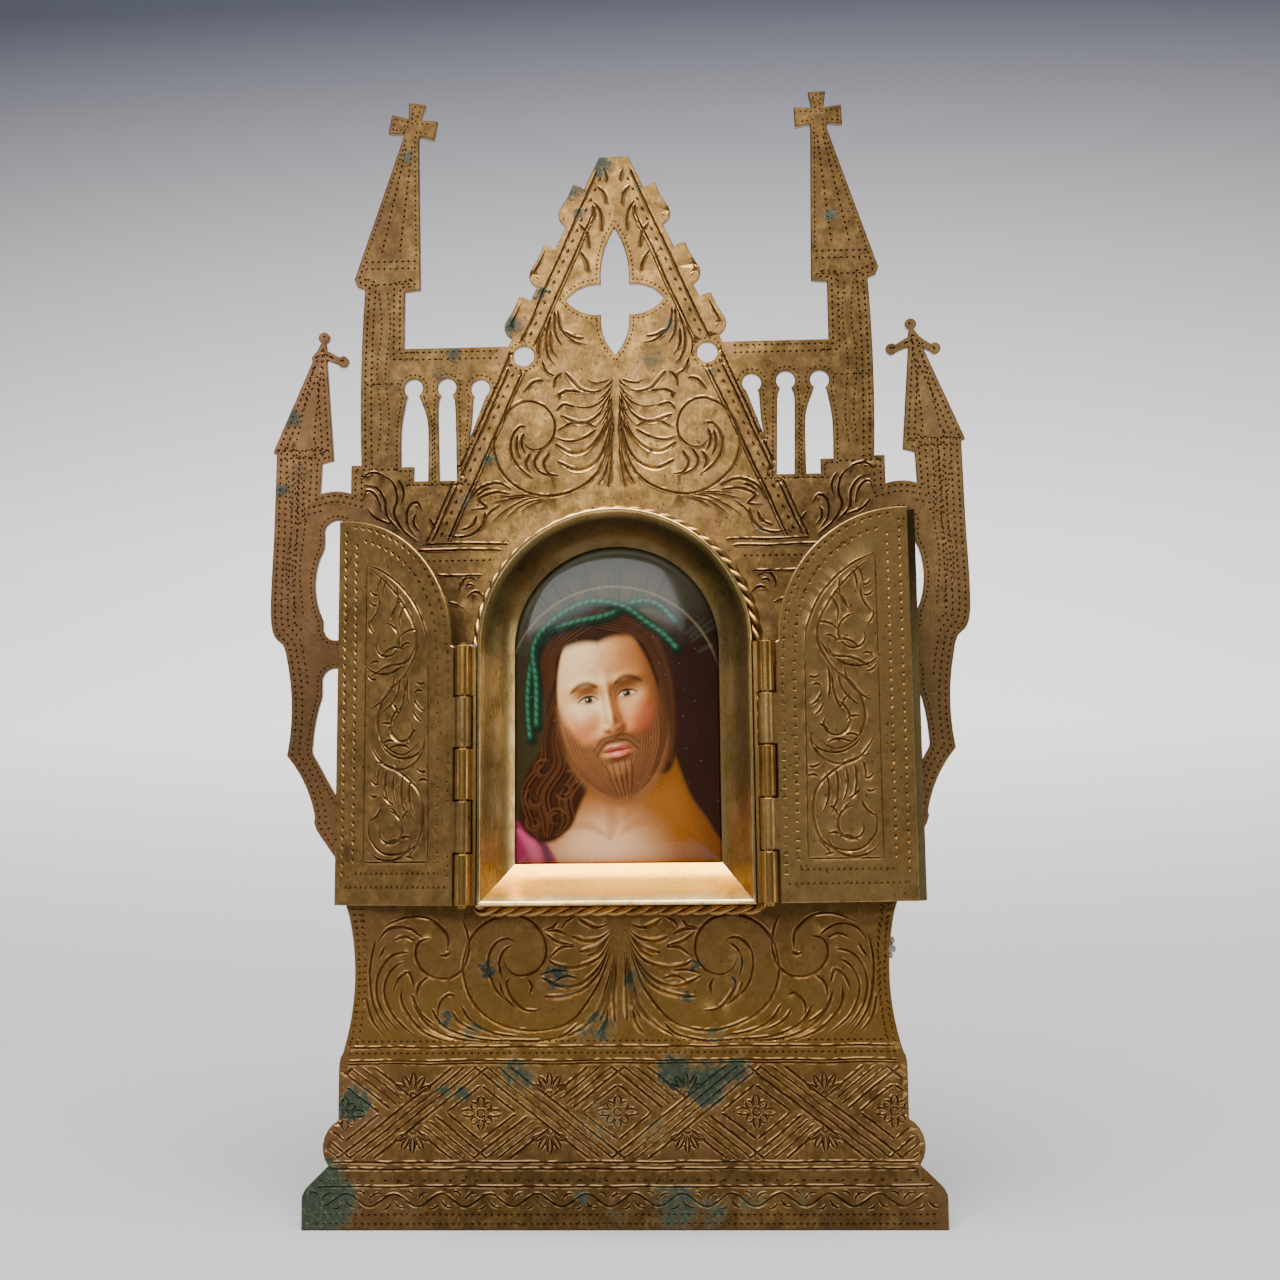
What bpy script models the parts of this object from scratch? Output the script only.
"""Folding icon: a pierced sheet-brass church front that leans back on a hinged strut.

A deep arched window surround stands proud of the front and holds a domed porcelain plaque.
Two quarter-arch doors hang on the surround's sides. The front of the object looks along -Y,
X runs to the right and Z is up. Lengths are in metres.

Everything but the strut is drawn in the sheet's own frame: u runs across the sheet, v up along it
from its bottom edge, and depth is measured back from its front face.
"""

import math

import bmesh
import bpy
from mathutils import Vector
from mathutils.geometry import delaunay_2d_cdt

# Sheet and stance
SHEET_THICKNESS = 0.0010
LEAN_DEGREES = 8.0
REST_GAP = 0.00015

# Plinth and base outline, as half widths and heights along the sheet
PLINTH_HALF_WIDTH = 0.0493
PLINTH_HEIGHT = 0.0060
PLINTH_CORNER_RADIUS = 0.0010
SLOPE_HEIGHT = 0.0034
SLOPE_RUN = 0.0040
OVOLO_HEIGHT = 0.0068
OVOLO_SWELL = 0.0016
FRIEZE_HALF_WIDTH = 0.0438
FRIEZE_TOP = 0.0246
FILLET_STEP = 0.0005
FILLET_HEIGHT = 0.0015
WAIST_HALF_WIDTH = 0.0415
WAIST_HEIGHT = 0.0380
BODY_BOTTOM = 0.0496
BODY_HALF_WIDTH = 0.0432
BODY_TOP = 0.1194

# Towers: the tall pinnacles left and right of the gable
TOWER_OUTER = 0.0418
TOWER_INNER = 0.0347
TOWER_EAVES = 0.1490
TOWER_EAVE_DROP = 0.0018
TOWER_EAVE_OVERHANG = 0.0013
TOWER_INNER_OVERHANG = 0.0026
TOWER_SPIRE_TOP = 0.1746
TOWER_SPIRE_INNER = 0.0326
TOWER_SPIRE_WIDTH = 0.0028
TOWER_SWAY = 0.0005
TOWER_CROSS_RISE = 0.0024
TOWER_CROSS_HEIGHT = 0.0042
TOWER_CROSS_ARM = 0.0039
TOWER_CROSS_HALF_BAR = 0.0014
TOWER_CROSS_FLARE = 0.0003
TOWER_CROSS_NECK = 0.0010
TOWER_CROSS_TIP = 0.0004
TOWER_EAVE_LIP = 0.0005
LEFT_CROSS_TILT = 10.0
RIGHT_CROSS_TILT = -2.0
SHOULDER_WIDTH = 0.0021
SHOULDER_DROP = 0.0024

# Gable between the towers
GABLE_TOP = 0.17085
GABLE_TOP_HALF_WIDTH = 0.0024
GABLE_SLOPE = 0.471
GABLE_LOWER_SLOPE = 0.412
CROCKET_FEET = (0.1590, 0.1487, 0.1400)
CROCKET_HEIGHT = 0.0072
CROCKET_REACH = 0.0024
RAIL_TOP = 0.1388

# Openings cut through the sheet
LIGHT_CENTRE = 0.1464
LIGHT_UP = 0.0122
LIGHT_DOWN = 0.0094
LIGHT_ACROSS = 0.0081
LIGHT_HALF_STEM = 0.0023
LIGHT_HALF_BAR = 0.0026
LIGHT_LENS = 0.85
EYE_OFFSET = 0.0150
EYE_HEIGHT = 0.1371
EYE_RADIUS = 0.00172
LANCET_SPACING = 0.0055
LANCET_FIRST = 0.0331
LANCET_HEAD_HEIGHT = 0.1321
LANCET_HEAD_RADIUS = 0.00155
LANCET_NECK = 0.00115
LANCET_NECK_DROP = 0.0019
LANCET_BOTTOM = 0.1166
LANCET_BODY = 0.0014
LANCET_BELLY = 0.0008
LANCET_LEAN = 0.0003
LANCET_POINT = 0.1231

# Wings: the flying buttresses beyond the body
WING_REACH = 0.0127
WING_LIMB_WIDTH = 0.0079
WING_BOW = 0.0002
WING_EAVES = 0.1217
WING_EAVE_LIP = 0.0014
WING_SPIRE_HEIGHT = 0.0153
WING_SPIRE_INSET = 0.0060
WING_SPIRE_WIDTH = 0.0024
WING_EAVE_OVERHANG = 0.0019
WING_EAVE_DROP = 0.0019
WING_NOTCH_BOTTOM = 0.1148
WING_ELBOW = 0.0938
WING_WAIST_INSET = 0.0036
WING_WAIST_DROP = 0.0136
WING_KNEE_INSET = 0.0030
WING_KNEE_HEIGHT = 0.0724
WING_FOOT_INSET = 0.0079
WING_FOOT_HEIGHT = 0.0607
WING_END_HEIGHT = 0.0540
WING_CROSS_REACH = 0.0035
WING_CROSS_DROOP = 0.0014
WING_CROSS_RISE = 0.0013
WING_CROSS_TOP = 0.0027
WING_BALL_RADIUS = 0.00095
WING_BAR = 0.00115
UPPER_GAP_TOP = 0.1104
UPPER_GAP_BOTTOM = 0.0908
LOWER_GAP_TOP = 0.0863
LOWER_GAP_BOTTOM = 0.0630
GAP_WIDTH = 0.0042
GAP_SWELL = 0.0014
GAP_SHOULDER = 0.0029
GAP_CUSP_DROP = 0.0016

# Window surround
WINDOW_HALF_WIDTH = 0.0212
WINDOW_BOTTOM = 0.0488
WINDOW_SPRING = 0.0886
WINDOW_DEPTH = 0.0094
WINDOW_WALL = 0.0006
SPLAY_RUN = 0.0051
SILL_RUN = 0.0062
SPLAY_HOLLOW = 0.0007

# Rope of twisted wire round the foot of the surround
ROPE_DIAMETER = 0.0018
ROPE_CORNER_RADIUS = 0.0022

# Porcelain plaque
PLAQUE_EDGE = 0.0021
PLAQUE_DOME = 0.0014
PLAQUE_TUCK = 0.0009
PLAQUE_DOME_SHARE = 0.66

# Door hinges
KNUCKLE_RADIUS = 0.00125
KNUCKLE_COUNT = 5
KNUCKLE_GAP = 0.0003
PIN_RADIUS = 0.0006
PIN_CLEARANCE = 0.0001
LEAF_THICKNESS = 0.00045
LEAF_WEB = 0.0006
PIN_HEAD = 0.0003

# Doors
DOOR_THICKNESS = 0.0009
DOOR_CLEARANCE = 0.00015
MEETING_GAP = 0.0002
LEFT_DOOR_FOLDED_BACK = 23.0
RIGHT_DOOR_FOLDED_BACK = 12.0
STRIP_WIDTH = 0.0034
STRIP_THICKNESS = 0.0007
STRIP_OVERLAP = 0.0014

# Strut behind the sheet
STRUT_HINGE_HEIGHT = 0.1000
STRUT_HINGE_WIDTH = 0.0120
STRUT_KNUCKLE_RADIUS = 0.0013
STRUT_PLATE_THICKNESS = 0.0008
STRUT_PLATE_HEIGHT = 0.0160
STRUT_PLATE_WIDTH = 0.0140
STRUT_THICKNESS = 0.0012
STRUT_TOP_WIDTH = 0.0090
STRUT_FOOT_WIDTH = 0.0180
STRUT_SPREAD_DEGREES = 13.0

ARC_STEPS = 7
DOME_STEPS = 7
ROUND_SIDES = 16

# Places that follow from the sizes above
HINGE_LINE = WINDOW_HALF_WIDTH + LEAF_THICKNESS + 2 * REST_GAP + KNUCKLE_RADIUS
HINGE_DEPTH = -WINDOW_DEPTH - REST_GAP - DOOR_THICKNESS / 2 - DOOR_CLEARANCE
LIP_DEPTH = PLAQUE_EDGE + 2 * REST_GAP
BORE_RADIUS = PIN_RADIUS + PIN_CLEARANCE
SHEET_BACK = SHEET_THICKNESS + REST_GAP
STRUT_AXIS_DEPTH = SHEET_BACK + STRUT_PLATE_THICKNESS + STRUT_KNUCKLE_RADIUS
WING_OUTER = BODY_HALF_WIDTH + WING_REACH
WING_SPIRE_INNER = WING_OUTER - WING_SPIRE_INSET - WING_SPIRE_WIDTH
WING_NECK = WING_OUTER - WING_LIMB_WIDTH
WING_SPIRE_TOP = WING_EAVES + WING_SPIRE_HEIGHT
GAP_OUTER = BODY_HALF_WIDTH + GAP_WIDTH


# Scene and materials
def clear_scene():
    for thing in list(bpy.data.objects):
        bpy.data.objects.remove(thing)


def make_material(name, colour, roughness, metallic):
    material = bpy.data.materials.new(name)
    material.use_nodes = True
    shader = material.node_tree.nodes["Principled BSDF"]
    shader.inputs["Base Color"].default_value = (*colour, 1.0)
    shader.inputs["Roughness"].default_value = roughness
    shader.inputs["Metallic"].default_value = metallic
    return material


def make_empty(name, parent=None):
    empty = bpy.data.objects.new(name, None)
    bpy.context.scene.collection.objects.link(empty)
    empty.parent = parent
    return empty


def add_object(name, mesh, parent, material, smooth_degrees=None):
    thing = bpy.data.objects.new(name, mesh)
    bpy.context.scene.collection.objects.link(thing)
    thing.parent = parent
    thing.data.materials.append(material)
    if smooth_degrees is not None:
        mesh.shade_smooth()
        mesh.set_sharp_from_angle(angle=math.radians(smooth_degrees))
    return thing


def hide_tool(tool):
    tool.hide_render = True
    tool.display_type = "WIRE"


def combine(thing, tool, operation):
    modifier = thing.modifiers.new(operation.title(), "BOOLEAN")
    modifier.operation = operation
    modifier.object = tool
    hide_tool(tool)


# Outline helpers, all in (u, v)
def arc_through(start, middle, end, steps=ARC_STEPS):
    """Points after start, up to and with end, on the circle through the three points."""
    ax, ay = start
    bx, by = middle
    cx, cy = end
    twice_area = 2 * (ax * (by - cy) + bx * (cy - ay) + cx * (ay - by))
    squares = (ax * ax + ay * ay, bx * bx + by * by, cx * cx + cy * cy)
    ox = (squares[0] * (by - cy) + squares[1] * (cy - ay) + squares[2] * (ay - by)) / twice_area
    oy = (squares[0] * (cx - bx) + squares[1] * (ax - cx) + squares[2] * (bx - ax)) / twice_area
    radius = math.hypot(ax - ox, ay - oy)
    first = math.atan2(ay - oy, ax - ox)
    last = math.atan2(cy - oy, cx - ox)
    turn = last - first
    if twice_area > 0:
        turn %= 2 * math.pi
    else:
        turn = -((-turn) % (2 * math.pi))
    angles = [first + turn * step / steps for step in range(1, steps + 1)]
    return [(ox + radius * math.cos(a), oy + radius * math.sin(a)) for a in angles]


def circle(centre, radius, sides=ROUND_SIDES, first=0.0):
    angles = [first + 2 * math.pi * side / sides for side in range(sides)]
    return [(centre[0] + radius * math.cos(a), centre[1] + radius * math.sin(a)) for a in angles]


def mirrored(points):
    return [(-u, v) for u, v in reversed(points)]


def gable_edge(v):
    """Half width of the gable at height v: a little steeper below the rail."""
    upper = GABLE_TOP_HALF_WIDTH + GABLE_SLOPE * (GABLE_TOP - max(v, RAIL_TOP))
    return upper + GABLE_LOWER_SLOPE * max(RAIL_TOP - v, 0.0)


# Outline of the right half, from the bottom edge up to the gable's top
def base_profile():
    corner = (PLINTH_HALF_WIDTH, PLINTH_HEIGHT - PLINTH_CORNER_RADIUS)
    slope_foot = (PLINTH_HALF_WIDTH - PLINTH_CORNER_RADIUS / 2, PLINTH_HEIGHT)
    slope_top = (PLINTH_HALF_WIDTH - SLOPE_RUN, PLINTH_HEIGHT + SLOPE_HEIGHT)
    ovolo_top = (FRIEZE_HALF_WIDTH, slope_top[1] + OVOLO_HEIGHT)
    swell = (
        (slope_top[0] + ovolo_top[0]) / 2 + OVOLO_SWELL,
        (slope_top[1] + ovolo_top[1]) / 2,
    )
    fillet = (FRIEZE_HALF_WIDTH - FILLET_STEP, FRIEZE_TOP + FILLET_HEIGHT)
    points = [(PLINTH_HALF_WIDTH, 0.0), corner, slope_foot, slope_top]
    points += arc_through(slope_top, swell, ovolo_top)
    points += [(FRIEZE_HALF_WIDTH, FRIEZE_TOP), fillet]
    points += arc_through(fillet, (WAIST_HALF_WIDTH, WAIST_HEIGHT), (BODY_HALF_WIDTH, BODY_BOTTOM), 10)
    return points


def wing_limb():
    """Outer edge of the flying buttress, from the body up to the spire's eave."""
    foot = (WING_OUTER - WING_FOOT_INSET, WING_FOOT_HEIGHT)
    knee = (WING_OUTER - WING_KNEE_INSET, WING_KNEE_HEIGHT)
    elbow = (WING_OUTER, WING_ELBOW)
    waist = (WING_OUTER - WING_WAIST_INSET, WING_ELBOW - WING_WAIST_DROP)
    elbow_foot = (WING_OUTER - 0.6 * WING_WAIST_INSET, WING_ELBOW - 0.29 * WING_WAIST_DROP)
    shin = (foot[0] + 0.28 * (knee[0] - foot[0]), (foot[1] + knee[1]) / 2)
    eave = (WING_OUTER - 2 * WING_BOW, WING_EAVES - WING_BOW)
    points = [(BODY_HALF_WIDTH, WING_END_HEIGHT), foot]
    points += arc_through(foot, shin, knee)
    points += arc_through(knee, waist, elbow_foot)
    points += [elbow]
    points += arc_through(elbow, (WING_OUTER - WING_BOW, (WING_ELBOW + WING_EAVES) / 2), eave)
    return points


def ball_end(centre, towards, away):
    """The round end of a cross arm, anticlockwise from the side facing towards to the one facing away."""
    first = math.atan2(towards[1] - centre[1], towards[0] - centre[0])
    last = math.atan2(away[1] - centre[1], away[0] - centre[0])
    turn = (last - first) % (2 * math.pi)
    angles = [first + turn * step / 10 for step in range(11)]
    return [
        (centre[0] + WING_BALL_RADIUS * math.cos(a), centre[1] + WING_BALL_RADIUS * math.sin(a))
        for a in angles
    ]


def wing_cross(outer_arm_whole):
    """The small ball-ended cross with drooping arms. The outer arm is broken off on one side."""
    bar = WING_BAR / 2
    middle = WING_SPIRE_INNER + WING_SPIRE_WIDTH / 3
    level = WING_SPIRE_TOP + WING_CROSS_RISE
    droop = WING_CROSS_DROOP
    near_ball = WING_CROSS_REACH - WING_BALL_RADIUS
    points = []
    if outer_arm_whole:
        ball = (middle + WING_CROSS_REACH, level - droop)
        below = (middle + near_ball, level - droop - bar)
        above = (middle + near_ball, level - 0.6 * droop + bar)
        points += ball_end(ball, below, above)
        points += [(middle + 2 * bar, level + bar)]
    else:
        points += [(middle + 3 * bar, level - bar), (middle + 1.4 * bar, level + bar)]
    top = (middle - bar / 2, level + WING_CROSS_TOP)
    foot_of_top = level + WING_CROSS_TOP - WING_BALL_RADIUS - bar
    points += ball_end(top, (middle + bar, foot_of_top), (middle - 1.4 * bar, foot_of_top))
    points += [(middle - 1.4 * bar, level + bar)]
    ball = (middle - WING_CROSS_REACH, level - droop)
    above = (middle - near_ball, level - 0.6 * droop + bar)
    below = (middle - near_ball, level - droop - bar)
    points += ball_end(ball, above, below)
    points += [(WING_SPIRE_INNER, level - 2 * bar)]
    return points


def wing_spire(outer_arm_whole):
    eave_inner = WING_NECK - WING_EAVE_OVERHANG
    points = [
        (WING_OUTER + WING_BOW, WING_EAVES),
        (WING_OUTER, WING_EAVES + WING_EAVE_LIP / 2),
        (WING_SPIRE_INNER + WING_SPIRE_WIDTH, WING_SPIRE_TOP),
    ]
    points += wing_cross(outer_arm_whole)
    points += [
        (eave_inner, WING_EAVES - WING_EAVE_LIP),
        (WING_NECK, WING_EAVES - WING_EAVE_DROP),
    ]
    neck_foot = (WING_NECK + WING_BOW, WING_NOTCH_BOTTOM)
    bridge = (BODY_HALF_WIDTH, WING_NOTCH_BOTTOM)
    crown = ((neck_foot[0] + bridge[0]) / 2, WING_NOTCH_BOTTOM + 2 * WING_BOW)
    points += [neck_foot]
    points += arc_through(neck_foot, crown, bridge, 5)
    return points


def tower_cross(middle, inward_tilt):
    """The flared cross on a tower's spire, anticlockwise from the foot of its outer arm."""
    bar = TOWER_CROSS_HALF_BAR
    end = bar + TOWER_CROSS_FLARE
    centre = TOWER_SPIRE_TOP + TOWER_CROSS_RISE
    top = centre + TOWER_CROSS_HEIGHT
    outward = [
        (bar, centre - bar),
        (TOWER_CROSS_ARM, centre - end),
        (TOWER_CROSS_ARM, centre + end),
        (TOWER_CROSS_NECK, centre + bar),
        (bar, top - TOWER_CROSS_TIP),
        (bar, top),
    ]
    inward = [(-du, v) for du, v in reversed(outward)]
    cosine = math.cos(math.radians(inward_tilt))
    sine = math.sin(math.radians(inward_tilt))
    turned = []
    for du, v in outward + inward:
        rise = v - TOWER_SPIRE_TOP
        turned.append((middle + du * cosine - rise * sine, TOWER_SPIRE_TOP + du * sine + rise * cosine))
    return turned


def tower(inward_tilt):
    spire_outer = TOWER_SPIRE_INNER + TOWER_SPIRE_WIDTH
    foot = (TOWER_OUTER - TOWER_SWAY / 2, BODY_TOP)
    middle = (TOWER_OUTER, (BODY_TOP + TOWER_EAVES) / 2)
    under_eave = (TOWER_OUTER - TOWER_SWAY, TOWER_EAVES)
    eave = under_eave[0] + TOWER_EAVE_OVERHANG
    points = [(BODY_HALF_WIDTH, BODY_TOP), foot]
    points += arc_through(foot, middle, under_eave)
    points += [
        (eave, TOWER_EAVES + TOWER_EAVE_LIP),
        (eave + TOWER_EAVE_LIP, TOWER_EAVES + TOWER_EAVE_DROP),
        (spire_outer, TOWER_SPIRE_TOP),
    ]
    points += tower_cross((TOWER_SPIRE_INNER + spire_outer) / 2, inward_tilt)
    points += [
        (TOWER_SPIRE_INNER, TOWER_SPIRE_TOP),
        (TOWER_INNER - TOWER_INNER_OVERHANG, TOWER_EAVES - TOWER_EAVE_LIP / 2),
        (TOWER_INNER, TOWER_EAVES - TOWER_EAVE_LIP),
        (TOWER_INNER, RAIL_TOP),
    ]
    return points


def crocket(foot):
    """One leaf on the gable's raking edge, from its lower end up to where it meets the edge again."""
    low = (gable_edge(foot), foot)
    belly_v = foot + 0.38 * CROCKET_HEIGHT
    tip_v = foot + CROCKET_HEIGHT
    shoulder_v = foot + 0.72 * CROCKET_HEIGHT
    root_v = foot + 0.88 * CROCKET_HEIGHT
    belly = (gable_edge(belly_v) + CROCKET_REACH, belly_v)
    below_belly = (gable_edge(foot) + 0.42 * CROCKET_REACH, foot + 0.13 * CROCKET_HEIGHT)
    shoulder = (gable_edge(shoulder_v) + 0.88 * CROCKET_REACH, shoulder_v)
    tip = (gable_edge(tip_v) + 0.92 * CROCKET_REACH, tip_v)
    inner = (gable_edge(tip_v) + 0.38 * CROCKET_REACH, tip_v - 0.05 * CROCKET_HEIGHT)
    points = [low] + arc_through(low, below_belly, belly, 5)
    points += [shoulder, tip, inner, (gable_edge(root_v), root_v)]
    return points


def gable_side():
    points = [(gable_edge(RAIL_TOP), RAIL_TOP)]
    for foot in reversed(CROCKET_FEET):
        points += crocket(foot)
    return points + [(GABLE_TOP_HALF_WIDTH, GABLE_TOP)]


def front_outline():
    def half(outer_arm_whole, inward_tilt):
        wing = wing_limb() + wing_spire(outer_arm_whole)
        return base_profile() + wing + tower(inward_tilt) + gable_side()

    return half(True, -RIGHT_CROSS_TILT) + mirrored(half(False, LEFT_CROSS_TILT))


# Openings
def quatrefoil():
    """Four pointed lobes round a common centre, anticlockwise from the upper right corner."""
    stem = LIGHT_HALF_STEM
    bar = LIGHT_HALF_BAR
    corners = [(stem, bar), (-stem, bar), (-stem, -bar), (stem, -bar)]
    tips = [(0.0, LIGHT_UP), (-LIGHT_ACROSS, 0.0), (0.0, -LIGHT_DOWN), (LIGHT_ACROSS, 0.0)]
    points = []
    for index, corner in enumerate(corners):
        tip = tips[index]
        leave = corners[(index + 1) % 4]
        for start, end, near in ((corner, tip, corner), (tip, leave, leave)):
            bulge = ((near[0] + tip[0]) / 2, near[1] * LIGHT_LENS)
            if index % 2 == 0:
                bulge = (near[0] * LIGHT_LENS, (near[1] + tip[1]) / 2)
            points += arc_through(start, bulge, end, 6)
    return [(u, v + LIGHT_CENTRE) for u, v in points]


def lancet_head(centre_u, centre_v):
    """The round head of a lancet, anticlockwise from the right of its neck to the left."""
    start = -math.asin(0.8)
    turn = math.pi - 2 * start
    angles = [start + turn * step / 14 for step in range(15)]
    return [
        (centre_u + LANCET_HEAD_RADIUS * math.cos(a), centre_v + LANCET_HEAD_RADIUS * math.sin(a))
        for a in angles
    ]


def lancets():
    """Three openings in the right-hand rail, from the tower inwards."""
    neck_v = LANCET_HEAD_HEIGHT - LANCET_NECK_DROP
    height = neck_v - LANCET_BOTTOM
    outer = LANCET_FIRST
    tower_side = TOWER_INNER + LANCET_LEAN
    beside_tower = lancet_head(outer, LANCET_HEAD_HEIGHT)
    beside_tower += [
        (outer - LANCET_NECK, neck_v),
        (outer - LANCET_BODY - LANCET_BELLY, neck_v - 0.22 * height),
        (outer - LANCET_BODY - LANCET_BELLY - LANCET_LEAN, neck_v - 0.45 * height),
        (outer - LANCET_BODY - LANCET_BELLY - LANCET_LEAN, LANCET_BOTTOM),
        (tower_side - SHOULDER_WIDTH, LANCET_BOTTOM),
        (tower_side - SHOULDER_WIDTH, LANCET_BOTTOM + SHOULDER_DROP),
        (tower_side, LANCET_BOTTOM + SHOULDER_DROP),
        (tower_side, neck_v - 0.36 * height),
        (outer + LANCET_NECK, neck_v),
    ]
    middle = outer - LANCET_SPACING
    slot = lancet_head(middle, LANCET_HEAD_HEIGHT)
    slot += [
        (middle - LANCET_NECK, neck_v),
        (middle - LANCET_BODY, neck_v - 0.12 * height),
        (middle - LANCET_BODY - LANCET_LEAN, LANCET_BOTTOM),
        (middle + LANCET_BODY - LANCET_LEAN, LANCET_BOTTOM),
        (middle + LANCET_BODY, neck_v - 0.12 * height),
        (middle + LANCET_NECK, neck_v),
    ]
    inner = middle - LANCET_SPACING
    head_v = LANCET_HEAD_HEIGHT - LANCET_LEAN
    pointed = lancet_head(inner, head_v)
    pointed += [
        (gable_edge(neck_v) + LANCET_LEAN, neck_v),
        (gable_edge(LANCET_POINT), LANCET_POINT),
        (inner + LANCET_BODY, head_v - 0.43 * height),
        (inner + LANCET_NECK, neck_v),
    ]
    return [beside_tower, slot, pointed]


def buttress_gap(top, bottom, outer, pointed_foot):
    """A space between body and buttress, cusped on its outer side."""
    inner = BODY_HALF_WIDTH
    middle_u = (inner + outer) / 2
    head = (outer, top - GAP_CUSP_DROP)
    cusp_high = (outer, top - GAP_CUSP_DROP - GAP_SHOULDER)
    points = [(inner, top - GAP_CUSP_DROP)]
    if pointed_foot:
        belly = (outer + GAP_SWELL, bottom + 0.42 * (top - bottom))
        ankle = (inner + 0.65 * GAP_WIDTH, bottom + 0.2 * (top - bottom))
        upper_belly = (outer + 0.75 * GAP_SWELL, (belly[1] + cusp_high[1]) / 2)
        points += [(inner, bottom)]
        points += arc_through((inner, bottom), ankle, belly)
        points += arc_through(belly, upper_belly, cusp_high)
    else:
        cusp_low = (outer, bottom + GAP_CUSP_DROP + GAP_SHOULDER / 2)
        points += [(inner, bottom + GAP_CUSP_DROP)]
        points += arc_through(points[-1], (middle_u, bottom), (outer, bottom + GAP_CUSP_DROP))
        points += [cusp_low]
        belly = (outer + GAP_SWELL, (cusp_low[1] + cusp_high[1]) / 2)
        points += arc_through(cusp_low, belly, cusp_high)
    points += [head]
    points += arc_through(head, (middle_u, top), points[0])[:-1]
    return points


def front_openings():
    right = lancets()
    right += [circle((EYE_OFFSET, EYE_HEIGHT), EYE_RADIUS)]
    right += [buttress_gap(UPPER_GAP_TOP, UPPER_GAP_BOTTOM, GAP_OUTER, False)]
    right += [buttress_gap(LOWER_GAP_TOP, LOWER_GAP_BOTTOM, GAP_OUTER, True)]
    return [quatrefoil()] + right + [mirrored(points) for points in right]


# Meshes
def plate_mesh(name, outline, openings, front, back):
    """A flat plate with openings, between two depths."""
    loops = [outline] + openings
    flat = [Vector(point) for loop in loops for point in loop]
    rings = []
    start = 0
    for loop in loops:
        rings.append(list(range(start, start + len(loop))))
        start += len(loop)
    spots, _, faces, _, _, sources = delaunay_2d_cdt(flat, [], rings, 1, 1e-7)
    bm = bmesh.new()
    near = [bm.verts.new((u, front, v)) for u, v in spots]
    far = [bm.verts.new((u, back, v)) for u, v in spots]
    for face, source in zip(faces, sources):
        # A face inside an opening comes from the opening's ring as well as from the outline's.
        if source == [0]:
            bm.faces.new([near[i] for i in face])
    bm.verts.index_update()
    rim = [edge for edge in bm.edges if edge.is_boundary]
    for face in list(bm.faces):
        bm.faces.new([far[vert.index] for vert in reversed(face.verts)])
    for edge in rim:
        a, b = (vert.index for vert in edge.verts)
        bm.faces.new([near[a], near[b], far[b], far[a]])
    bmesh.ops.recalc_face_normals(bm, faces=bm.faces)
    mesh = bpy.data.meshes.new(name)
    bm.to_mesh(mesh)
    bm.free()
    return mesh


def bridged_mesh(name, rings, closed):
    """A skin over rings of points: closed round to the first ring, or else capped at both ends."""
    bm = bmesh.new()
    rows = [[bm.verts.new(point) for point in ring] for ring in rings]
    pairs = list(zip(rows, rows[1:]))
    if closed:
        pairs.append((rows[-1], rows[0]))
    for low, high in pairs:
        for i in range(len(low)):
            bm.faces.new([low[i - 1], low[i], high[i], high[i - 1]])
    if not closed:
        bm.faces.new(rows[0])
        bm.faces.new(rows[-1])
    bmesh.ops.recalc_face_normals(bm, faces=bm.faces)
    mesh = bpy.data.meshes.new(name)
    bm.to_mesh(mesh)
    bm.free()
    return mesh


def box_mesh(name, low, high):
    outline = [(low[0], low[2]), (high[0], low[2]), (high[0], high[2]), (low[0], high[2])]
    return plate_mesh(name, outline, [], low[1], high[1])


def barrel_mesh(name, radius, start, end, along_x=False, sides=ROUND_SIDES):
    """A round bar along Z, or along X, between two places on its axis."""
    rings = []
    for place in (start, end):
        if along_x:
            rings.append([(place, a, b) for a, b in circle((0.0, 0.0), radius, sides)])
        else:
            rings.append([(a, b, place) for a, b in circle((0.0, 0.0), radius, sides)])
    return bridged_mesh(name, rings, False)


# The window: every ring of the surround, the plaque and the rope follows this arch
def arch_ring(side_inset, sill_inset, depth, arc_steps=32, side_steps=1):
    """The window's outline moved inwards, at one depth, anticlockwise from the lower right corner."""
    half = WINDOW_HALF_WIDTH - side_inset
    bottom = WINDOW_BOTTOM + sill_inset
    points = []
    for step in range(side_steps):
        points.append((half, bottom + (WINDOW_SPRING - bottom) * step / side_steps))
    for step in range(arc_steps + 1):
        angle = math.pi * step / arc_steps
        points.append((half * math.cos(angle), WINDOW_SPRING + half * math.sin(angle)))
    for step in range(1, side_steps + 1):
        points.append((-half, WINDOW_SPRING + (bottom - WINDOW_SPRING) * step / side_steps))
    return [(u, depth, v) for u, v in points]


def surround_mesh():
    """Outer wall and hollowed splay, one bent sheet that is open at its back."""
    foot = -REST_GAP
    rim = -WINDOW_DEPTH
    lip_front = -LIP_DEPTH - WINDOW_WALL
    lip_back = -LIP_DEPTH
    rim_inset = 0.5 * WINDOW_WALL
    steps = 5
    share = SILL_RUN / SPLAY_RUN
    profile = [(0.0, foot), (0.0, rim)]
    for step in range(steps + 1):
        across = step / steps
        hollow = SPLAY_HOLLOW * math.sin(math.pi * across)
        inset = rim_inset + (SPLAY_RUN - rim_inset) * across
        profile.append((inset, rim + (lip_front - rim) * across + hollow))
    for step in range(steps, 0, -1):
        across = step / steps
        hollow = SPLAY_HOLLOW * math.sin(math.pi * across)
        inset = rim_inset + (SPLAY_RUN - rim_inset) * across
        profile.append((inset, rim + (lip_back - rim) * across + hollow + WINDOW_WALL * (1 - across)))
    profile.append((WINDOW_WALL, rim + 3 * WINDOW_WALL))
    profile.append((WINDOW_WALL, foot))
    rings = [arch_ring(inset, inset * share, depth) for inset, depth in profile]
    return bridged_mesh("window_surround", rings, True)


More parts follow.
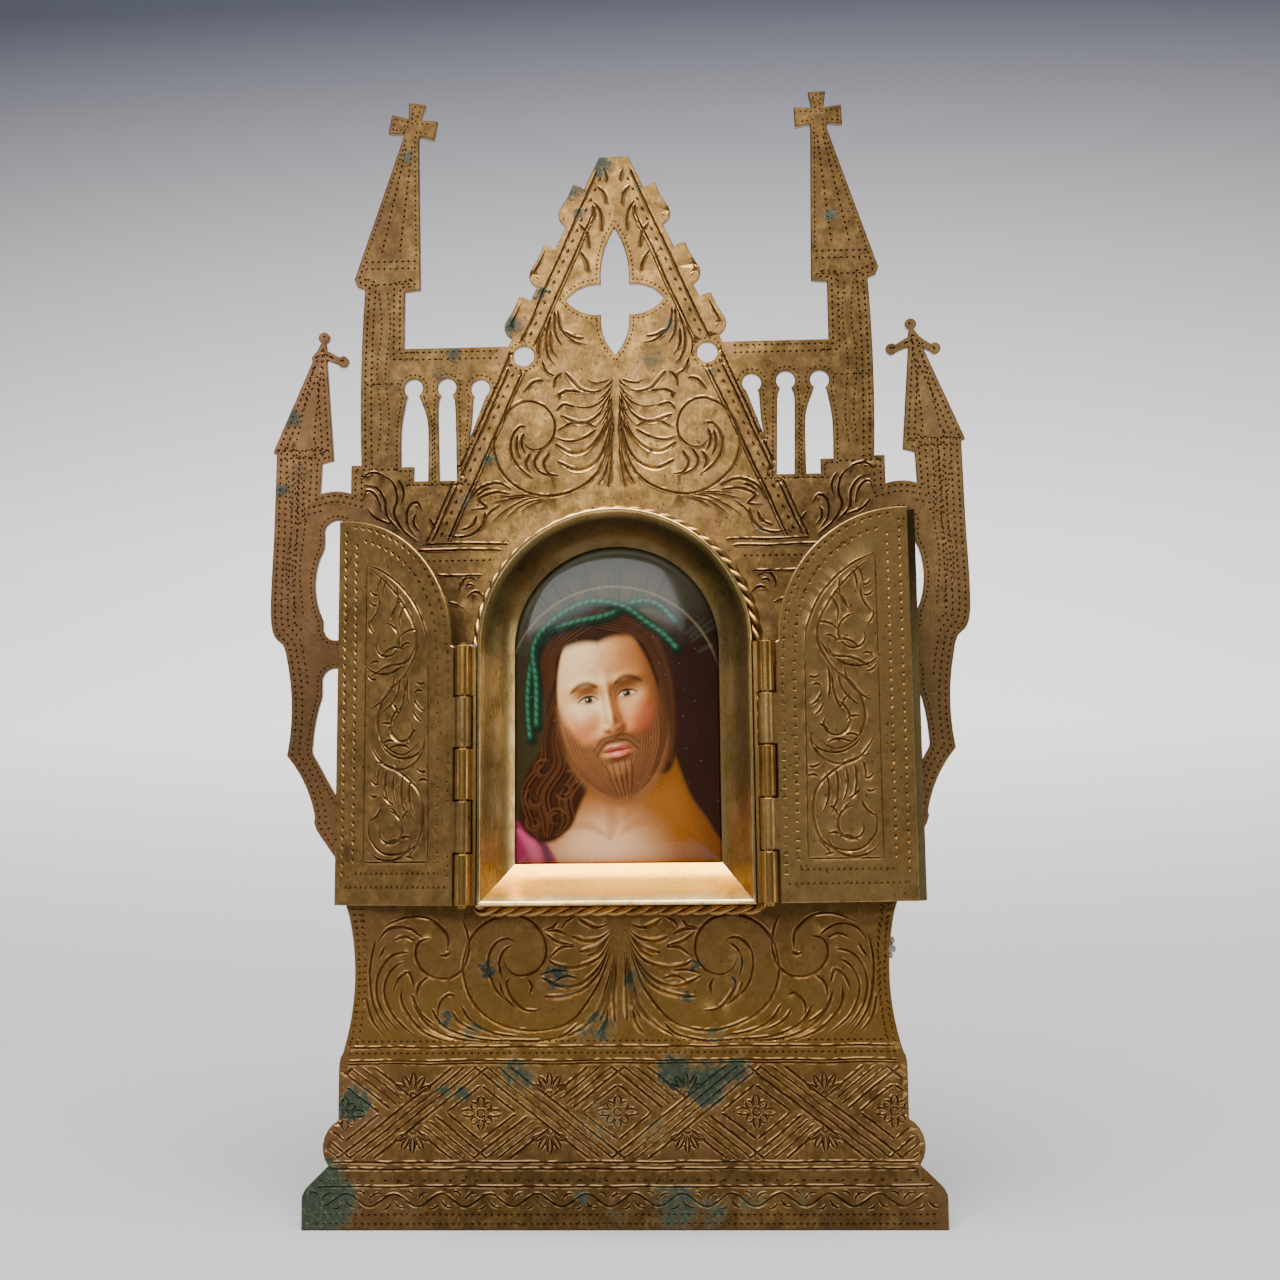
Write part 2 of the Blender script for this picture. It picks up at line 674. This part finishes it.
def plaque_mesh():
    """A slab whose rim lies under the surround's lip, domed inside it."""
    inset = SPLAY_RUN - PLAQUE_TUCK
    sill = SILL_RUN - PLAQUE_TUCK
    back = -REST_GAP
    edge_front = back - PLAQUE_EDGE
    rings = [arch_ring(inset, sill, back), arch_ring(inset, sill, edge_front)]
    reach = PLAQUE_DOME_SHARE * (WINDOW_HALF_WIDTH - SPLAY_RUN)
    for step in range(DOME_STEPS + 1):
        share = (step / DOME_STEPS) ** 1.4
        rise = PLAQUE_DOME * math.sqrt(1 - (1 - share) ** 2)
        inwards = REST_GAP + reach * share
        rings.append(arch_ring(SPLAY_RUN + inwards, SILL_RUN + inwards, edge_front - rise))
    return bridged_mesh("porcelain_plaque", rings, False)


def rope_curve():
    """A wire laid round the foot of the surround, turning round its two lower corners."""
    radius = ROPE_DIAMETER / 2
    half = WINDOW_HALF_WIDTH + REST_GAP + radius
    bottom = WINDOW_BOTTOM - REST_GAP - radius
    corner = ROPE_CORNER_RADIUS
    turns = [math.pi * step / 30 for step in range(31)]
    points = [(half * math.cos(a), WINDOW_SPRING + half * math.sin(a)) for a in turns]
    points += [(-half, WINDOW_SPRING - (WINDOW_SPRING - bottom) * share) for share in (0.3, 0.6)]
    reach = half + radius
    for side, first in ((-1, math.pi), (1, 1.5 * math.pi)):
        centre = (side * (reach - corner), bottom - radius + corner)
        turn = corner - radius
        for step in range(4):
            angle = first + math.pi / 2 * step / 3
            points.append((centre[0] + turn * math.cos(angle), centre[1] + turn * math.sin(angle)))
    points += [(half, WINDOW_SPRING - (WINDOW_SPRING - bottom) * share) for share in (0.6, 0.3)]
    curve = bpy.data.curves.new("rope_moulding", "CURVE")
    curve.dimensions = "3D"
    curve.bevel_depth = radius
    curve.bevel_resolution = 2
    spline = curve.splines.new("POLY")
    spline.points.add(len(points) - 1)
    for spot, (u, v) in zip(spline.points, points):
        spot.co = (u, -REST_GAP - radius, v, 1.0)
    spline.use_cyclic_u = True
    return curve


# Door hinges: the knuckles are counted from the bottom, the odd ones belong to the surround
def knuckle_span(index):
    length = (WINDOW_SPRING - WINDOW_BOTTOM) / KNUCKLE_COUNT
    low = WINDOW_BOTTOM + index * length
    return low + KNUCKLE_GAP / 2, low + length - KNUCKLE_GAP / 2


def make_leaf(name, side, frame, material):
    """The strip soldered to the surround's side, with the fixed knuckles."""
    inner = WINDOW_HALF_WIDTH + REST_GAP
    outer = inner + LEAF_THICKNESS
    back = -ROPE_DIAMETER - 3 * REST_GAP
    low = WINDOW_BOTTOM + KNUCKLE_GAP / 2
    high = WINDOW_SPRING - KNUCKLE_GAP / 2
    front = -WINDOW_DEPTH + REST_GAP
    across = sorted((side * inner, side * outer))
    strip = box_mesh(name, (across[0], front, low), (across[1], back, high))
    leaf = add_object(name, strip, frame, material, 35)
    for index in range(0, KNUCKLE_COUNT, 2):
        start, end = knuckle_span(index)
        barrel = barrel_mesh("knuckle", KNUCKLE_RADIUS, start, end)
        knuckle = add_object(f"{name}_knuckle", barrel, frame, material)
        knuckle.location = (side * HINGE_LINE, HINGE_DEPTH, 0.0)
        combine(leaf, knuckle, "UNION")
        sides = sorted((side * (outer - LEAF_THICKNESS / 2), side * HINGE_LINE))
        web_back = HINGE_DEPTH + KNUCKLE_RADIUS
        web = box_mesh("web", (sides[0], web_back - LEAF_WEB, start), (sides[1], web_back, end))
        combine(leaf, add_object(f"{name}_web", web, frame, material), "UNION")
    bore = barrel_mesh("bore", BORE_RADIUS, WINDOW_BOTTOM - KNUCKLE_RADIUS, WINDOW_SPRING + KNUCKLE_RADIUS)
    cutter = add_object(f"{name}_bore", bore, frame, material)
    cutter.location = (side * HINGE_LINE, HINGE_DEPTH, 0.0)
    combine(leaf, cutter, "DIFFERENCE")
    return leaf


def make_pin(name, side, frame, material):
    low = WINDOW_BOTTOM - PIN_HEAD
    high = WINDOW_SPRING + PIN_HEAD
    pin = add_object(name, barrel_mesh(name, PIN_RADIUS, low, high), frame, material, 35)
    pin.location = (side * HINGE_LINE, HINGE_DEPTH, 0.0)
    return pin


def door_outline(side):
    """A quarter arch, in the closed position, measured from the hinge line."""
    hinge_edge = HINGE_LINE - KNUCKLE_RADIUS - KNUCKLE_GAP
    meeting = MEETING_GAP / 2
    bottom = WINDOW_BOTTOM + KNUCKLE_GAP / 2
    start_angle = math.acos(hinge_edge / WINDOW_HALF_WIDTH) if hinge_edge < WINDOW_HALF_WIDTH else 0.0
    points = [(meeting, bottom), (hinge_edge, bottom)]
    steps = 18
    last = math.acos(meeting / WINDOW_HALF_WIDTH)
    if hinge_edge > WINDOW_HALF_WIDTH:
        points.append((hinge_edge, WINDOW_SPRING - KNUCKLE_GAP))
        points.append((WINDOW_HALF_WIDTH, WINDOW_SPRING - KNUCKLE_GAP / 2))
    for step in range(1, steps + 1):
        angle = start_angle + (last - start_angle) * step / steps
        rise = WINDOW_HALF_WIDTH * math.sin(angle)
        points.append((WINDOW_HALF_WIDTH * math.cos(angle), WINDOW_SPRING + rise))
    shifted = [(side * (u - HINGE_LINE), v) for u, v in points]
    return shifted if side > 0 else list(reversed(shifted))


def make_door(name, side, folded_back, frame, material):
    """A door with its own frame on the hinge line. It is drawn closed, then turned to its open rest."""
    swing = make_empty(f"{name}_hinge_line", frame)
    swing.location = (side * HINGE_LINE, HINGE_DEPTH, 0.0)
    swing.rotation_euler.z = side * math.radians(180 + folded_back)
    half = DOOR_THICKNESS / 2
    door = add_object(name, plate_mesh(name, door_outline(side), [], -half, half), swing, material, 35)
    for index in range(1, KNUCKLE_COUNT, 2):
        start, end = knuckle_span(index)
        barrel = barrel_mesh("knuckle", KNUCKLE_RADIUS, start, end)
        knuckle = add_object(f"{name}_knuckle", barrel, swing, material)
        combine(door, knuckle, "UNION")
        sides = sorted((-side * (KNUCKLE_RADIUS + 4 * KNUCKLE_GAP), 0.0))
        web = box_mesh("web", (sides[0], -half, start), (sides[1], half, end))
        combine(door, add_object(f"{name}_web", web, swing, material), "UNION")
    bore = barrel_mesh("bore", BORE_RADIUS, WINDOW_BOTTOM - KNUCKLE_RADIUS, WINDOW_SPRING + KNUCKLE_RADIUS)
    combine(door, add_object(f"{name}_bore", bore, swing, material), "DIFFERENCE")
    return swing


def make_meeting_strip(swing, material):
    """The strip on the right door's outer face, which laps over the left door when both are shut."""
    inner = -HINGE_LINE - STRIP_OVERLAP
    outer = inner + STRIP_WIDTH
    front = -DOOR_THICKNESS / 2 - REST_GAP
    low = WINDOW_BOTTOM + KNUCKLE_GAP / 2
    high = WINDOW_SPRING + math.sqrt(WINDOW_HALF_WIDTH**2 - (STRIP_WIDTH - STRIP_OVERLAP) ** 2) - REST_GAP
    ridge = STRIP_WIDTH / 4
    rings = []
    for v in (low, high):
        rings.append([
            (inner, front, v),
            (inner, front - STRIP_THICKNESS / 2, v),
            (inner + ridge, front - STRIP_THICKNESS, v),
            (outer - ridge, front - STRIP_THICKNESS, v),
            (outer, front - STRIP_THICKNESS / 2, v),
            (outer, front, v),
        ])
    return add_object("meeting_strip", bridged_mesh("meeting_strip", rings, False), swing, material)


# Strut and its hinge, behind the sheet
def strut_knuckle_span(index):
    length = STRUT_HINGE_WIDTH / 3
    low = -STRUT_HINGE_WIDTH / 2 + index * length
    return low + KNUCKLE_GAP / 2, low + length - KNUCKLE_GAP / 2


def make_strut_plate(frame, material):
    """The plate soldered to the sheet's back, with the two fixed knuckles at its lower edge."""
    front = SHEET_BACK
    back = front + STRUT_PLATE_THICKNESS
    low = STRUT_HINGE_HEIGHT + STRUT_KNUCKLE_RADIUS + KNUCKLE_GAP
    half = STRUT_PLATE_WIDTH / 2
    clip = STRUT_PLATE_WIDTH / 5
    top = low + STRUT_PLATE_HEIGHT
    outline = [(-half, low), (half, low), (half, top - clip), (half - clip, top)]
    outline += [(clip - half, top), (-half, top - clip)]
    shape = plate_mesh("strut_hinge_plate", outline, [], front, back)
    plate = add_object("strut_hinge_plate", shape, frame, material, 35)
    for index in (0, 2):
        start, end = strut_knuckle_span(index)
        barrel = barrel_mesh("knuckle", STRUT_KNUCKLE_RADIUS, start, end, True)
        knuckle = add_object("strut_plate_knuckle", barrel, frame, material)
        knuckle.location = (0.0, STRUT_AXIS_DEPTH, STRUT_HINGE_HEIGHT)
        combine(plate, knuckle, "UNION")
        web_back = STRUT_AXIS_DEPTH - BORE_RADIUS
        web_top = low + STRUT_PLATE_THICKNESS
        web = box_mesh("web", (start, front, STRUT_HINGE_HEIGHT), (end, web_back, web_top))
        combine(plate, add_object("strut_plate_web", web, frame, material), "UNION")
    reach = STRUT_HINGE_WIDTH
    hole = barrel_mesh("bore", BORE_RADIUS, -reach, reach, True)
    bore = add_object("strut_plate_bore", hole, frame, material)
    bore.location = (0.0, STRUT_AXIS_DEPTH, STRUT_HINGE_HEIGHT)
    combine(plate, bore, "DIFFERENCE")
    return plate


def strut_length(lean, spread):
    """Length from the strut's axis to its foot, so that its front lower edge meets the floor."""
    axis_height = STRUT_HINGE_HEIGHT * math.cos(lean) + (SHEET_THICKNESS - STRUT_AXIS_DEPTH) * math.sin(lean)
    return (axis_height - STRUT_THICKNESS / 2 * math.sin(spread)) / math.cos(spread)


def make_strut(frame, material):
    """The strut in its own frame: it hangs down from its axis, and is then swung out to its rest."""
    lean = math.radians(LEAN_DEGREES)
    spread = math.radians(STRUT_SPREAD_DEGREES)
    swing = make_empty("strut_hinge_line", frame)
    swing.location = (0.0, STRUT_AXIS_DEPTH, STRUT_HINGE_HEIGHT)
    swing.rotation_euler.x = lean + spread
    length = strut_length(lean, spread)
    half = STRUT_THICKNESS / 2
    top = STRUT_TOP_WIDTH / 2
    foot = STRUT_FOOT_WIDTH / 2
    shoulder = STRUT_KNUCKLE_RADIUS + KNUCKLE_GAP
    notch = 0.18 * STRUT_FOOT_WIDTH
    outline = [(-foot, -length), (-notch, -length)]
    outline += arc_through((-notch, -length), (0.0, -length + notch), (notch, -length), 8)
    outline += [(foot, -length), (top, -shoulder), (-top, -shoulder)]
    strut = add_object("strut", plate_mesh("strut", outline, [], -half, half), swing, material, 35)
    start, end = strut_knuckle_span(1)
    barrel = barrel_mesh("knuckle", STRUT_KNUCKLE_RADIUS, start, end, True)
    combine(strut, add_object("strut_knuckle", barrel, swing, material), "UNION")
    web = box_mesh("web", (start, -half, -shoulder - STRUT_THICKNESS), (end, half, 0.0))
    combine(strut, add_object("strut_web", web, swing, material), "UNION")
    reach = STRUT_HINGE_WIDTH
    hole = barrel_mesh("bore", BORE_RADIUS, -reach, reach, True)
    bore = add_object("strut_bore", hole, swing, material)
    combine(strut, bore, "DIFFERENCE")
    return strut


def stand_at_origin(frame):
    """Sets the lowest edge on the floor and the object's box over the origin."""
    bpy.context.view_layer.update()
    depsgraph = bpy.context.evaluated_depsgraph_get()
    spots = []
    for thing in bpy.context.scene.objects:
        if thing.type in {"MESH", "CURVE"} and not thing.hide_render:
            shape = thing.evaluated_get(depsgraph).to_mesh()
            spots += [thing.matrix_world @ vert.co for vert in shape.vertices]
    depths = [spot.y for spot in spots]
    frame.location.y -= (min(depths) + max(depths)) / 2
    frame.location.z -= min(spot.z for spot in spots)


def main():
    clear_scene()
    brass = make_material("engraved_brass", (0.36, 0.22, 0.085), 0.42, 1.0)
    bright_brass = make_material("plain_brass", (0.50, 0.31, 0.11), 0.32, 1.0)
    porcelain = make_material("painted_porcelain", (0.42, 0.33, 0.26), 0.12, 0.0)
    frame = make_empty("sheet_frame")
    frame.rotation_euler.x = -math.radians(LEAN_DEGREES)
    front = plate_mesh("front_sheet", front_outline(), front_openings(), 0.0, SHEET_THICKNESS)
    add_object("front_sheet", front, frame, brass)
    add_object("window_surround", surround_mesh(), frame, bright_brass, 35)
    add_object("rope_moulding", rope_curve(), frame, bright_brass)
    add_object("porcelain_plaque", plaque_mesh(), frame, porcelain, 35)
    for name, side, folded_back in (
        ("left", -1, LEFT_DOOR_FOLDED_BACK),
        ("right", 1, RIGHT_DOOR_FOLDED_BACK),
    ):
        make_leaf(f"{name}_hinge_leaf", side, frame, bright_brass)
        make_pin(f"{name}_hinge_pin", side, frame, bright_brass)
        swing = make_door(f"{name}_door", side, folded_back, frame, brass)
        if side > 0:
            make_meeting_strip(swing, bright_brass)
    make_strut_plate(frame, bright_brass)
    make_strut(frame, bright_brass)
    reach = STRUT_HINGE_WIDTH / 2 + PIN_HEAD
    pin = barrel_mesh("strut_hinge_pin", PIN_RADIUS, -reach, reach, True)
    strut_pin = add_object("strut_hinge_pin", pin, frame, bright_brass, 35)
    strut_pin.location = (0.0, STRUT_AXIS_DEPTH, STRUT_HINGE_HEIGHT)
    stand_at_origin(frame)


main()
